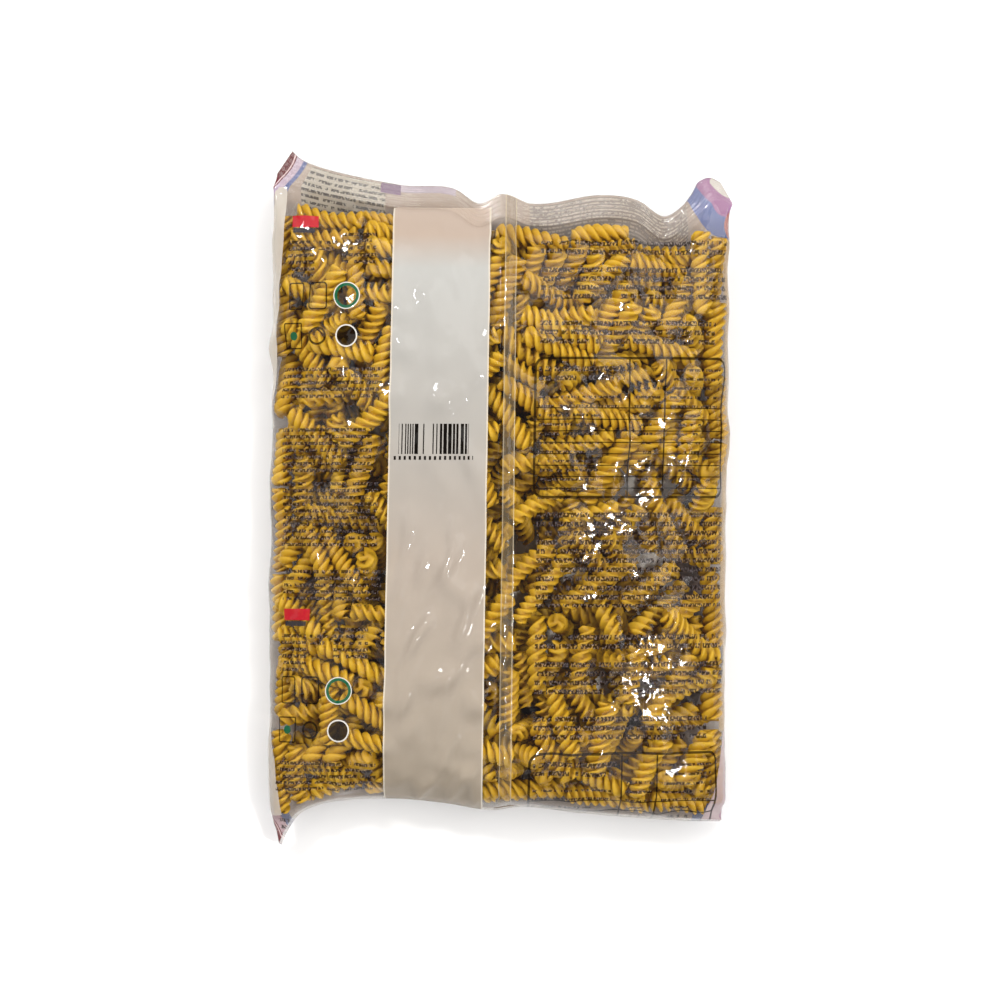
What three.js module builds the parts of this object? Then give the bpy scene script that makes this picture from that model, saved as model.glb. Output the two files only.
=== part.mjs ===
// A pillow bag of dried pasta spirals, lying on its front with its back up.
// The bag is one sheet of clear film: a tube with a seam down its back and a crimped seal across each end.
// It is closed and tight over its filling, so bag and filling are one solid.
// The film's relief follows the spirals that press against it.
// Millimetres. +X runs across the bag, +Y towards its top seal, and +Z up from the surface that it lies on.
import * as THREE from "three";

// Overall sizes
const HALF_WIDTH = 97; // of the filled tube, at its middle
const SIDE_SWAY = 0.8; // how far each side line sways out and in
const SIDE_SWAY_LENGTH = 60; // Y over which the sway turns through one radian
const SIDE_HEIGHT = 16; // of the line round the bag where back and front meet
const BACK_RISE = 27; // of the back above that line
const FRONT_DROP = 21; // of the front below it, before it is flattened on the surface

// End seals: two layers of film crimped together in ribs
const SEAL_WIDTH = 10;
const SEAL_THICKNESS = 0.9;
const RIB_COUNT = 3;
const RIB_HEIGHT = 0.45;
const TOP_SEAL_DROOP = 3.5; // how far the top seal's cut edge hangs below its inner line
const BOTTOM_SEAL_DROOP = 9.2;
const BOTTOM_SEAL_REACH = 4.2; // the bottom seal is bent down, so it reaches out less than its width
const TOP_RIPPLE = 3; // up and down along the top seal
const BOTTOM_RIPPLE = 1.6;
const RIPPLES = 2.5; // in the bag's width

// Back seam: the folded-over fin down the back
const SEAM_LEFT = 1.4;
const SEAM_RIGHT = 6.0;
const SEAM_HEIGHT = 0.7;
const SEAM_WALL = 0.25; // width of the step at each side of the fin

// Pasta spirals that press into the film
const SPIRAL_RADIUS = 5.6;
const BODY_REACH = 126; // Y of the last spirals' middles, up and down the bag
const SPIRAL_REACH = 14; // from a spiral's middle to the centre of its round end
const SPIRAL_SPACING = 9.4; // least distance between the centre lines of two spirals
const SPIRAL_RELIEF = 2.1; // how far the film stands out over a spiral
const SPIRAL_TRIES = 5200;
const SPIRAL_SEED = 7;

// Mesh: columns across the back and rows along it. The front takes every second one.
const COLUMNS = 60;
const BODY_ROWS = 56;
const RIB_ROWS = 2 * RIB_COUNT;

// The cut edges of the end seals as [X, Y]. The tight body draws their middles in and leaves their corners out.
const TOP_EDGE = [
  [-97, 146.2],
  [-91, 143],
  [-77, 138.6],
  [-58, 134.6],
  [-40, 131.9],
  [-19, 130.6],
  [-8.5, 124.2],
  [1.5, 128],
  [13, 124],
  [45, 128],
  [58, 126],
  [69, 118.8],
  [81, 127],
  [90, 134.6],
  [97, 132.7],
];
const BOTTOM_EDGE = [
  [-97, -146.8],
  [-92, -141],
  [-84, -133.4],
  [-75, -129.3],
  [-47, -126.9],
  [-24, -128.5],
  [-3, -131.5],
  [9, -130.3],
  [35, -133],
  [79, -136],
  [97, -136.9],
];

// Each corner draws the side in towards the ear's tip: {top, side, inward, length along Y}
const CORNERS = [
  { top: true, side: -1, inward: 9.6, along: 15 },
  { top: true, side: 1, inward: 4.8, along: 9 },
  { top: false, side: -1, inward: 5.4, along: 14 },
  { top: false, side: 1, inward: 3, along: 12 },
];

// A repeatable stream of numbers from 0 to 1.
function randomStream(seed) {
  let state = seed;
  return () => {
    state = (Math.imul(state, 1664525) + 1013904223) >>> 0;
    return state / 4294967296;
  };
}

// Y along a smooth curve through points, as a function of X.
function smoothThrough(points) {
  const curve = new THREE.CubicInterpolant(
    points.map(([x]) => x),
    points.map(([, y]) => y),
    1,
  );
  return (x) => curve.evaluate(x)[0];
}
const topEdge = smoothThrough(TOP_EDGE);
const bottomEdge = smoothThrough(BOTTOM_EDGE);

// X of the bag's side at a height along it, for u from -1 at the left side to 1 at the right.
function acrossAt(u, y) {
  const side = Math.sign(u) || 1;
  let reach = HALF_WIDTH + side * SIDE_SWAY * Math.sin(y / SIDE_SWAY_LENGTH);
  for (const corner of CORNERS) {
    if (corner.side !== side) continue;
    const tip = corner.top ? topEdge(side * HALF_WIDTH) : bottomEdge(side * HALF_WIDTH);
    const near = Math.max(0, 1 - Math.abs(tip - y) / corner.along);
    reach -= corner.inward * near;
  }
  return u * reach;
}

// How full the bag is, from 0 on its rim to 1 at its middle: u across it, v along it.
const fullAcross = (u) => Math.sqrt(Math.max(0, 1 - Math.abs(u) ** 3));
function fullAlong(v) {
  return v > 0
    ? Math.max(0, 1 - v ** 3.4) ** 0.6 // slack film below the top seal
    : Math.max(0, 1 - (-v) ** 5) ** 0.5; // the filling has slid down to the bottom seal
}

// The uneven lie of the filling under the film.
const unevenness = (x, y) =>
  1.3 * Math.sin(x / 21 + 0.8) * Math.cos(y / 33) + 0.9 * Math.sin(x / 13 - y / 17);

// Height of the rim and of the seals, with the ripples along them.
function rimHeight(u, v) {
  const nearEnd = v ** 6;
  const [height, start] = v > 0 ? [TOP_RIPPLE, 0.6] : [BOTTOM_RIPPLE, 2.2];
  const ripple = height * Math.sin(u * RIPPLES * Math.PI + start);
  const earLift = v > 0 ? 3 * u ** 8 : -5 * u ** 8;
  return SIDE_HEIGHT + nearEnd * (ripple + earLift);
}

// Lines under the film where spirals lie, dropped at random and kept where they have room.
function layOutSpirals() {
  const random = randomStream(SPIRAL_SEED);
  const lines = [];
  for (let i = 0; i < SPIRAL_TRIES; i++) {
    const middle = new THREE.Vector2((2 * random() - 1) * HALF_WIDTH, (2 * random() - 1) * BODY_REACH);
    const turn = random() * Math.PI;
    const along = new THREE.Vector2(Math.cos(turn), Math.sin(turn)).multiplyScalar(SPIRAL_REACH);
    const line = [middle.clone().sub(along), middle.clone().add(along)];
    if (lines.every((other) => lineDistance(line, other) > SPIRAL_SPACING)) lines.push(line);
  }
  return lines;
}

function pointDistance(point, [start, end]) {
  const along = end.clone().sub(start);
  const share = THREE.MathUtils.clamp(point.clone().sub(start).dot(along) / along.lengthSq(), 0, 1);
  return point.distanceTo(start.clone().addScaledVector(along, share));
}

function lineDistance(a, b) {
  const side = ([start, end], p) => (end.x - start.x) * (p.y - start.y) - (end.y - start.y) * (p.x - start.x);
  const crossing = side(a, b[0]) * side(a, b[1]) < 0 && side(b, a[0]) * side(b, a[1]) < 0;
  if (crossing) return 0;
  return Math.min(...a.map((p) => pointDistance(p, b)), ...b.map((p) => pointDistance(p, a)));
}

const spirals = layOutSpirals();

// How far the film stands out over the spirals at a place, from 0 between them to 1 on top of one.
function spiralRelief(x, y) {
  const place = new THREE.Vector2(x, y);
  let most = 0;
  for (const line of spirals) {
    const share = pointDistance(place, line) / SPIRAL_RADIUS;
    if (share < 1) most = Math.max(most, Math.sqrt(1 - share * share));
  }
  return most;
}

// Columns, closer together at the sides, with one at the foot and head of each step of the back seam.
function columnPlaces() {
  const bend = 0.86 * (Math.PI / 2);
  const places = [];
  for (let i = 0; i <= COLUMNS; i++) {
    places.push(Math.sin(((2 * i) / COLUMNS - 1) * bend) / Math.sin(bend));
  }
  const steps = [SEAM_LEFT - SEAM_WALL, SEAM_LEFT, SEAM_RIGHT, SEAM_RIGHT + SEAM_WALL];
  steps.forEach((x, i) => {
    places[COLUMNS / 2 + i] = x / HALF_WIDTH;
  });
  return places;
}

// Rows as {v along the filled body, out past it as a share of the seal's width}.
function rowPlaces() {
  const rows = [];
  for (let i = RIB_ROWS; i > 0; i--) rows.push({ v: -1, out: i / RIB_ROWS });
  for (let i = 0; i <= BODY_ROWS; i++) {
    const even = (2 * i) / BODY_ROWS - 1;
    rows.push({ v: 0.55 * even + 0.45 * Math.sin((even * Math.PI) / 2), out: 0 });
  }
  for (let i = 1; i <= RIB_ROWS; i++) rows.push({ v: 1, out: i / RIB_ROWS });
  return rows;
}

// A point of the bag's back (layer 1) or front (layer -1).
function filmPoint(u, { v, out }, layer) {
  const x0 = u * HALF_WIDTH;
  const top = topEdge(x0) - SEAL_WIDTH;
  const bottom = bottomEdge(x0) + BOTTOM_SEAL_REACH;
  const atTop = v > 0;
  let y = bottom + ((v + 1) / 2) * (top - bottom);
  y += out * (atTop ? SEAL_WIDTH : -BOTTOM_SEAL_REACH);
  const x = acrossAt(u, y);

  const rim = Math.abs(u) === 1 || out === 1;
  const half = rim ? 0 : SEAL_THICKNESS / 2;
  const droop = out * (atTop ? TOP_SEAL_DROOP : BOTTOM_SEAL_DROOP);
  const rimZ = rimHeight(u, v) - droop;

  const full = fullAcross(u) * fullAlong(v);
  const relief = SPIRAL_RELIEF * spiralRelief(x, y) * Math.min(1, 1.6 * full * full);
  if (layer > 0) {
    const onSeam = x0 > SEAM_LEFT - SEAM_WALL / 2 && x0 < SEAM_RIGHT + SEAM_WALL / 2;
    const seam = onSeam && !rim ? SEAM_HEIGHT : 0;
    const rib = out > 0 && out < 1 ? RIB_HEIGHT * Math.cos((Math.PI / 2) * out * RIB_ROWS) ** 2 : 0;
    const z = rimZ + half + full * (BACK_RISE + unevenness(x, y)) + relief + seam + rib;
    return new THREE.Vector3(x, y, z);
  }
  // The front is pressed flat where it rests, and its relief shows only where it curves up.
  const z = rimZ - half - full * FRONT_DROP - 0.6 * relief;
  return new THREE.Vector3(x, y, Math.max(0, z));
}

// A bag's skin: the back's vertices, then the front's inner ones, which share the back's rim.
function bagGeometry() {
  const columns = columnPlaces();
  const rows = rowPlaces();
  const across = columns.length - 1;
  const along = rows.length - 1;
  const positions = [];
  const indices = [];
  const backIndex = [];
  const frontIndex = [];
  const addPoint = (p) => positions.push(p.x, p.y, p.z) / 3 - 1;
  rows.forEach((row, j) => {
    backIndex[j] = columns.map((u) => addPoint(filmPoint(u, row, 1)));
    frontIndex[j] = columns.map((u, i) => {
      const onRim = i === 0 || i === across || j === 0 || j === along;
      if (onRim) return backIndex[j][i];
      return i % 2 || j % 2 ? null : addPoint(filmPoint(u, row, -1));
    });
  });
  for (let j = 0; j < along; j++) {
    for (let i = 0; i < across; i++) {
      const [a, b, c, d] = [backIndex[j][i], backIndex[j][i + 1], backIndex[j + 1][i + 1], backIndex[j + 1][i]];
      indices.push(a, b, c, a, c, d);
    }
  }
  // A front cell spans two columns and two rows. On the rim it also takes the back's middle vertices.
  for (let j = 0; j < along; j += 2) {
    for (let i = 0; i < across; i += 2) {
      const ring = [
        [j, i],
        [j, i + 1],
        [j, i + 2],
        [j + 1, i + 2],
        [j + 2, i + 2],
        [j + 2, i + 1],
        [j + 2, i],
        [j + 1, i],
      ].map(([r, c]) => frontIndex[r][c]);
      // The fan starts at the corner furthest from the rim, so that no triangle lies along the rim.
      const [nearRow, farRow] = i === 0 ? [2, 4] : [0, 6];
      const inner = j === 0 ? farRow : nearRow;
      const fan = [...ring.slice(inner), ...ring.slice(0, inner)].filter((k) => k !== null);
      for (let k = 1; k + 1 < fan.length; k++) indices.push(fan[0], fan[k + 1], fan[k]);
    }
  }
  const geometry = new THREE.BufferGeometry();
  geometry.setAttribute("position", new THREE.Float32BufferAttribute(positions, 3));
  geometry.setIndex(indices);
  return geometry;
}

// The origin is under the middle of the bag, on the surface that it lies on.
function centred(geometry) {
  geometry.computeBoundingBox();
  const middle = geometry.boundingBox.getCenter(new THREE.Vector3());
  return geometry.translate(-middle.x, -middle.y, -geometry.boundingBox.min.z);
}

function makeBag() {
  const filmOverPasta = new THREE.MeshStandardMaterial({ color: 0xc9a04a, roughness: 0.3, metalness: 0 });
  const bag = new THREE.Mesh(centred(bagGeometry()), filmOverPasta);
  bag.name = "pasta_bag";
  return bag;
}

const packet = new THREE.Group();
packet.add(makeBag());

export default packet;
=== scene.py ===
import math
from functools import reduce

import bpy
import numpy as np
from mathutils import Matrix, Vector, noise
from mathutils.bvhtree import BVHTree
from numpy.linalg import norm


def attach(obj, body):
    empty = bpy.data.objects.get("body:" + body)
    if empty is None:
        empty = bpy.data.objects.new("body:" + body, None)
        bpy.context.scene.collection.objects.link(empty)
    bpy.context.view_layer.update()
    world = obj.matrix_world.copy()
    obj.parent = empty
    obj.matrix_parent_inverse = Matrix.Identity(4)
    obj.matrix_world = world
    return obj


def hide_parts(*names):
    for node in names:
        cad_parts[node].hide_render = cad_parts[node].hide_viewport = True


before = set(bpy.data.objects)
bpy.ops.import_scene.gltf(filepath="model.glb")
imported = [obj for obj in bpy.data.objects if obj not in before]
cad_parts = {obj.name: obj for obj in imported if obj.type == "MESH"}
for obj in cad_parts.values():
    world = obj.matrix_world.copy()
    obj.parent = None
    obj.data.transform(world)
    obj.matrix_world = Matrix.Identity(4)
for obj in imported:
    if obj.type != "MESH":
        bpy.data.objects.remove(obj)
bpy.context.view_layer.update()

MM = 0.001

# The bag, with the sizes of the solid that it replaces
HALF_WIDTH = 97.0
SIDE_SWAY = 0.8
SIDE_SWAY_LENGTH = 60.0
SIDE_HEIGHT = 16.0
BACK_RISE = 27.0
FRONT_DROP = 21.0
SEAL_WIDTH = 10.0
BOTTOM_SEAL_REACH = 4.2  # the bottom seal is bent down
TOP_SEAL_DROOP = 3.5
BOTTOM_SEAL_DROOP = 9.2
TOP_RIPPLE = 3.0
BOTTOM_RIPPLE = 1.6
RIPPLES = 2.5  # in the bag's width
SEAM_LEFT = 1.4
SEAM_RIGHT = 6.0
SEAM_HEIGHT = 0.7
SEAM_WALL = 0.25
SEAM_SLANT = 0.0125  # share of Y, from the level where the seam is in its place
SEAM_PULL = 5  # how far beside the seam the film slants with it
SLANT_LEVEL = 84.0
# The cut edges of the end seals
TOP_EDGE = [
    (-97, 146.2), (-91, 143), (-77, 138.6), (-58, 134.6), (-40, 131.9), (-19, 130.6), (-8.5, 124.2),
    (1.5, 128), (13, 124), (45, 128), (58, 126), (69, 118.8), (81, 127), (90, 134.6), (97, 132.7),
]
BOTTOM_EDGE = [
    (-97, -146.8), (-92, -141), (-84, -133.4), (-75, -129.3), (-47, -126.9), (-24, -128.5), (-3, -131.5),
    (9, -130.3), (35, -133), (79, -136), (97, -136.9),
]
# The solid is centred on its box, which shifts its outline along Y by this much
CENTRE_SHIFT = -(TOP_EDGE[0][1] + BOTTOM_EDGE[0][1]) / 2
# Each corner draws the side in towards the ear's tip: (at the top, side, inward, length along Y)
CORNERS = [(True, -1, 9.6, 15), (True, 1, 4.8, 9), (False, -1, 5.4, 14), (False, 1, 3, 12)]

# The spirals: a twisted stick of dough with three wings that lean over to one side
SPIRAL_RADIUS = 4.6
SPIRAL_CORE = 1.1
SPIRAL_PITCH = 11.4  # of one wing, so the flights are a third of this apart
WING_LEAN = -0.9  # radians that a wing's edge is turned from its root
WING_SPREAD = 0.78  # share of a third of the circle that a wing takes at its root
WING_ROUNDNESS = 2.3
SPIRAL_LENGTHS = (24, 28, 31, 35)
OUTER_DETAIL = (15, 9)  # sides of the section, and steps in one turn
INNER_DETAIL = (9, 7)
SPIRAL_COUNT = 475
UPRIGHT_COUNT = 34  # of them stand across the bag, so their ends show
INNER_SHARE = 0.47  # of the spirals lie inside the pile, where little of them shows
PINCH = 0.16  # share of its width that a spiral loses at its ends
PINCH_LENGTH = 2.2
MOST_BEND = 2.2
GRAIN_SPACING = 1 / 0.42  # of the dough's fine unevenness, about 2 mm
GRAIN_DEPTH = 0.15

# Lines where the solid's film stands out over spirals, from the same draws as in its source
LINE_REACH = 14.0
LINE_SPACING = 9.4
LINE_TRIES = 5200
LINE_SEED = 7
BODY_REACH = 126.0

# Packing
PACK_SEED = 11
PACK_STEPS = 260
PACK_MARGIN = 0.9  # between the spirals and the solid's surface
PACK_RADIUS = 4.2  # wings of neighbours lock into each other, so spirals lie closer than their full radius
PACK_END = 0.8  # share of that radius by which a spiral goes on past the ends of its line
PAIR_STEPS = 10  # after so many steps the pairs that may touch are listed anew
PAIR_MARGIN = 3  # a pair is listed if its middles are nearer than half its lengths and this
WEIGHT = 0.01  # fall at each step
END_PRESS = 0.04  # the pile's press towards its top and bottom at each step
END_PRESS_FROM = 98  # distance from the bag's middle at which it starts
LAYER_HEIGHTS = (38.0, 6.0)  # of the layers that lie against the back and the front at the start
LAYER_SCATTER = 3.0
RIM_SCATTER = 2.0
HEAP = ((-86, -116, 10), (86, 112, 36))  # low and high corner of the space where the rest start
UPRIGHT_HEIGHT = 24
FLOOR_GAP = 0.5  # between the spirals and the surface that the bag lies on
UPRIGHT_SPREAD = (0.8, 0.9, 1)  # share of that space where they start
RIM_SPACING = 31.0  # of the spirals that lie along the sides, the top and the bottom
RIM_X = (-78, 84)  # range of their middles along the top and the bottom
RIM_Y = (-108, 112)  # and along the sides
FILL_SIDE = HALF_WIDTH - SPIRAL_RADIUS - PACK_MARGIN
FILL_TOP = [
    (-97, 113), (-90, 120), (-84, 125), (-72, 115), (-62, 120), (-47, 121), (7, 117), (27, 117),
    (42, 118.6), (50, 117), (61, 111), (71, 105), (79, 108), (88, 115), (97, 112),
]
FILL_BOTTOM = -133.0
BOTTOM_EASE = 2.7  # how far the filling reaches beyond the solid's body at the bottom, over the bent seal
EASE_LENGTH = 260  # it grows to that over this length, from the top to the bottom

# Film mesh and how it is drawn over the spirals
COLUMNS = 168  # in the back, and as many in the front
BODY_ROWS = 196
SEAL_ROWS = 20
SEAL_HALF = 0.12  # half the thickness of the two layers in a seal
RIB_PITCH = 2.0
RIB_DEPTH = 0.22
STIFF_ROWS = 9  # rows next to a seal, less free to move than the rest
WRAP_STEPS = 70
WRAP_RADIUS = 4.9
WRAP_PULL = 0.018  # inward at each step
WRAP_EVENING = 0.6  # share of the way towards its neighbours
WRAP_RETURN = 0.015  # share of the way back to where a point was
WRAP_SPIRALS = 5  # nearest spirals that a point of the film is held off
LIFT_CELLS = 2  # of the mesh that a swell over a spiral reaches
LIFT_REACH = 9.0  # how far inside and outside the film a spiral is looked for
MOST_LIFT = 6.0
FILM_GAP = 0.6  # between the middle of the film and what it lies on
CREASE_DEPTH = 0.5
CREASE_LEAN = -0.42  # radians from the bag's length
CREASE_SIZE = (13, 36, 20)  # across a crease, along it, and in height
RIDGE_SIZE = (5, 17)  # across a ridge in the white strip, and along it
STRIP_RIDGE = 5.0  # height of those ridges, where the film is gathered
STRIP_FADE = 6  # over this width at the strip's edges they fade
STRIP_SMOOTH = 25.0  # above this Y the strip is smooth
STRIP_GATHER = 60.0  # over this length below it they rise
PLEAT_DEPTHS = (0.7, 0.25)  # below the top seal and above the bottom one
PLEAT_REACH = 11
FOLD_DEPTH = 0.9  # of the folds that fan out from each corner
FOLD_REACH = 30
CRINKLE_SPACING = 1 / 0.13  # of the finest creases, about 8 mm
CRINKLE_DEPTH = 0.8
GLOSS = 0.022  # share of light that the film mirrors straight on
GLOSS_RISE = 0.9  # added to it at a grazing angle

# The printed web
REPEAT = 164.0
WINDOW_LOW = -44.8  # the print between this Y and one repeat above it is drawn once and repeated
PRINT_SLANT = 0.015  # the bag is twisted a little, so the print leans by this share of Y
STRIP = (-46.0, -4.4, -145.0, 122.5)  # left, right, low and high edge of the white strip
# Colours of the white strip from its low end up. It is darker and warmer towards the bottom: painted shade,
# as if the light fell off away from the top, and the pasta's colour through the ink where it presses close
STRIP_TONES_AND_SHADE = ((0.0, "#968a79"), (0.45, "#a19589"), (0.66, "#a09b94"), (0.9, "#a9a7a2"), (0.955, "#a9988a"))
# Blocks of small print in one repeat: row pitch, row height, and left, right, low and high of each
TEXT_BLOCKS = [
    (3.78, 2.0, [
        (17, 94, 103.6, 109.8), (17, 95, 81.5, 100), (17, 90, 64, 75.5), (17, 52, 48, 55.5),
        (17, 95, -44, -4.6),
    ]),
    (2.8, 1.4, [
        (-89, -77.7, 92.8, 110.5), (-76, -68.5, 103.3, 110), (-66, -51.8, 99, 112), (-91, -48, 41, 56),
        (-91, -52, 12, 30), (-90, -49, -19, 8), (-88, -47, -42, -27),
    ]),
    (3.78, 1.1, [
        (17, 50, 39.6, 47), (56, 67, 39.6, 51), (71, 92, 39.6, 55), (17, 42, 1.5, 37), (58, 64, 1.5, 37),
        (75, 84, 1.5, 37),
    ]),
]
GLYPH_WIDTH = 0.8
GLYPH_TALL = 0.6  # the pattern of its strokes is drawn out along the bag by 1 / this
GLYPH_STROKE = (0.34, 0.46)  # the pattern's values between which a stroke begins
GLYPH_GAP = 1.3  # width of the gaps in a row
GAP_SHARE = 0.14  # of a row
TEXT_HIGH = 119.0  # the back's small print ends here
TABLE_FRAME = (15.5, 93.7, 0.8, 58.4)
TABLE_COLUMNS = (54.2, 68.9)
TABLE_ROWS = (4.2, 39.0)  # low and high edge of its ruled part
TABLE_ROW_PITCH = 4.75
TABLE_LINE = 0.7
TABLE_ROW_LINE = 0.1  # share of the pitch
# Dark frames on the back: left, right, low and high edge, radius of the corners, width of the line
FRAMES = [
    (TABLE_FRAME, 4.0, 1.1),
    ((-88.2, -82.4, 79, 90), 1.0, 0.6),
    ((-79.4, -72.2, 79, 90), 1.5, 0.7),
    ((-89.4, -82.4, 62.6, 73), 0.4, 0.6),
]
# Round marks on the back: X and Y of the middle, inner and outer radius
DARK_ROUNDS = [(-75.8, 67.8, 2.9, 3.8), (-63.6, 67.8, 0, 4.1)]
PALE_ROUNDS = [(-63.8, 84.5, 5.3, 5.7), (-63.6, 67.8, 4.1, 4.7)]
GREEN_ROUNDS = [(-63.8, 84.5, 4.1, 5.3), (-85.9, 67.8, 0, 1.8)]
RED_FIELD = (-87.5, -76.5, 113.6, 118.4)
GREY_FIELD = (-87, -78, 111.2, 113.2)
BAR_BLOCK = (-40.8, -11.8, 18.6, 31.1)
BAR_WIDTH = 0.5  # wider than a real bar, or it wouldn't show
DIGIT_PITCH = 2.1
# Hazy bands down the sides: two points of their inner edge, low and high end, colour, cover
SIDE_BANDS = [
    (((-89.5, 131), (-94.5, 60)), 30, 131.5, "#bbb2a6", 0.85),
    (((-91.5, -128), (-95.8, -90)), -133, -90, "#bbb2a8", 0.7),
    (((88.6, -130), (96.2, -96)), -137, -96, "#b9a5a6", 0.6),
    (((93.8, 100), (93.8, -100)), -97, 108, "#d0a65f", 0.3),
]
# Half the width and height of the front's dark ground and of the clear window in it, and how square they
# are. The dark ground is the front's print, and also painted shade for the gaps between the spirals near the
# sides that it shows through
FRONT_GROUND = (93.0, 99.0)
FRONT_WINDOW = (76.0, 88.0)
FRONT_ROUNDNESS = 7.0
# Panels of small print on the front, seen through the empty top of the bag: left, right, nearest to the cut
# edge and furthest from it, then colour, cover, row pitch, and colour and cover of the rows
PANELS = [
    ((-86, -50, 1, 40), "#a49e92", 0.85, 2.4, "#29211e", 0.8),
    ((13, 80, 1, 40), "#766c65", 0.82, 1.5, "#a2988d", 0.85),
]
TOP_BARS = [((-52, -43.5, -1, 4.6), "#5f4164", 0.85), ((-43.5, -20, -1, 3.2), "#826c87", 0.6)]
# Round fields in the front's corners: X and Y of the middle, then radii, colour and cover of each
CORNER_FIELDS = {
    (-106, 139.5): [
        (0, 8, "#560d1a", 0.95), (8, 8.8, "#cdb3b6", 0.95), (8.8, 9.6, "#560d1a", 0.95),
        (9.6, 14, "#a695a7", 0.85), (14, 16.5, "#535e8d", 0.9),
    ],
    (104, 134): [(0, 8, "#b6b1ab", 0.85), (8, 16, "#875182", 0.85), (16, 25, "#4f5e93", 0.88)],
    (105, 115): [(0, 6, "#9c3d32", 0.75)],
    (-106, -141): [
        (0, 6.5, "#560d1a", 0.95), (6.5, 7.2, "#cdb3b6", 0.95), (7.2, 7.9, "#560d1a", 0.95),
        (7.9, 13, "#a68a94", 0.85), (13, 17.5, "#535e8d", 0.88),
    ],
    (101, -134): [(0, 8, "#a78b98", 0.75), (9, 15, "#46588d", 0.85)],
}

# The studio, in metres and watts: place, size and power of each square lamp
LAMPS = {
    "key": ((-0.9, 0.9, 1.3), 0.2, 18),
    "spark": ((0.8, -0.35, 1.5), 0.16, 10),
    "left_back": ((-1.0, 1.0, 1.4), 1.8, 13),
    "right_back": ((1.0, 1.0, 1.4), 1.8, 28),
    "right_front": ((1.0, -1.0, 1.4), 1.8, 14),
    "left_front": ((-1.0, -1.0, 1.4), 1.8, 8),
}
WORLD_LIGHT = 0.12
CAMERA_HEIGHT = 1.6  # above the bag's rim
FRAME_WIDTH = 0.42  # what the camera sees at the height of the rim
SENSOR = 36  # mm
FLOOR_SIZE = 6
FLOOR_LEVEL = -0.0003  # just below the bag, so that the two faces don't meet


def linear(hex_colour):
    """An sRGB hex colour as linear red, green, blue and alpha."""
    channels = [int(hex_colour[i:i + 2], 16) / 255 for i in (1, 3, 5)]
    return [c / 12.92 if c <= 0.04045 else ((c + 0.055) / 1.055) ** 2.4 for c in channels] + [1.0]


def add(tree, kind, *values, **settings):
    """Adds a node with its settings, and fills its live inputs with values, hex colours or links."""
    node = tree.nodes.new("ShaderNode" + kind)
    for name, value in settings.items():
        setattr(node, name, value)
    sockets = [s for s in node.inputs if s.enabled]
    for socket, value in zip(sockets, values):
        if isinstance(value, bpy.types.NodeSocket):
            tree.links.new(value, socket)
        elif value is not None:
            socket.default_value = linear(value) if isinstance(value, str) else value
    return next((s for s in node.outputs if s.enabled), None)


def new_object(name, data):
    item = bpy.data.objects.new(name, data)
    bpy.context.scene.collection.objects.link(item)
    return item


def store(mesh, **values):
    """Keeps named values at a mesh's corners, for its material."""
    for name, numbers in values.items():
        mesh.attributes.new(name, "FLOAT", "POINT").data.foreach_set("value", np.ravel(numbers))


# Shape of the bag


def smooth_through(points, x):
    """Y along a smooth curve through points."""
    xs, ys = np.array(points, float).T
    slopes = np.diff(ys) / np.diff(xs)
    slopes = np.concatenate([slopes[:1], (slopes[1:] + slopes[:-1]) / 2, slopes[-1:]])
    x = np.clip(x, xs[0], xs[-1])
    k = np.clip(np.searchsorted(xs, x) - 1, 0, len(xs) - 2)
    step = xs[k + 1] - xs[k]
    t = (x - xs[k]) / step
    start = ys[k] * (1 + 2 * t) + slopes[k] * step * t
    end = ys[k + 1] * (3 - 2 * t) - slopes[k + 1] * step * (1 - t)
    return start * (1 - t) ** 2 + end * t**2


def across_at(u, y):
    """X for u from -1 at the left side to 1 at the right, at a height along the bag."""
    side = np.where(u < 0, -1, 1)
    reach = HALF_WIDTH + side * SIDE_SWAY * np.sin(y / SIDE_SWAY_LENGTH)
    for at_top, corner_side, inward, along in CORNERS:
        tip = smooth_through(TOP_EDGE if at_top else BOTTOM_EDGE, corner_side * HALF_WIDTH)
        near = np.maximum(0, 1 - np.abs(tip - y) / along)
        reach = reach - np.where(side == corner_side, inward * near, 0)
    return u * reach


def full_across(u):
    return np.sqrt(np.maximum(0, 1 - np.abs(u) ** 3))


def full_along(v):
    top = np.maximum(0, 1 - np.maximum(v, 0) ** 3.4) ** 0.6
    bottom = np.maximum(0, 1 - np.maximum(-v, 0) ** 5) ** 0.5
    return np.where(v > 0, top, bottom)


def unevenness(x, y):
    return 1.3 * np.sin(x / 21 + 0.8) * np.cos(y / 33) + 0.9 * np.sin(x / 13 - y / 17)


def rim_height(u, v):
    ripple = np.where(
        v > 0,
        TOP_RIPPLE * np.sin(u * RIPPLES * math.pi + 0.6),
        BOTTOM_RIPPLE * np.sin(u * RIPPLES * math.pi + 2.2),
    )
    ear = np.where(v > 0, 3, -5) * u**8
    return SIDE_HEIGHT + v**6 * (ripple + ear)


def film_place(u, v, out, layer):
    """Points of the bag's back (layer 1) or front (layer -1). v runs along its body, and out over a seal."""
    x0 = u * HALF_WIDTH
    top = smooth_through(TOP_EDGE, x0) - SEAL_WIDTH
    bottom_reach = BOTTOM_SEAL_REACH - BOTTOM_EASE
    bottom = smooth_through(BOTTOM_EDGE, x0) + bottom_reach
    y = bottom + (v + 1) / 2 * (top - bottom)
    y = y + out * np.where(v > 0, SEAL_WIDTH, -bottom_reach)
    x = across_at(u, y)
    rim_z = rim_height(u, v) - out * np.where(v > 0, TOP_SEAL_DROOP, BOTTOM_SEAL_DROOP)
    full = full_across(u) * full_along(v)
    if layer > 0:
        z = rim_z + full * (BACK_RISE + unevenness(x, y))
    else:
        z = np.maximum(0, rim_z - full * FRONT_DROP)
    return np.stack(np.broadcast_arrays(x, y, z), -1)


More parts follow.
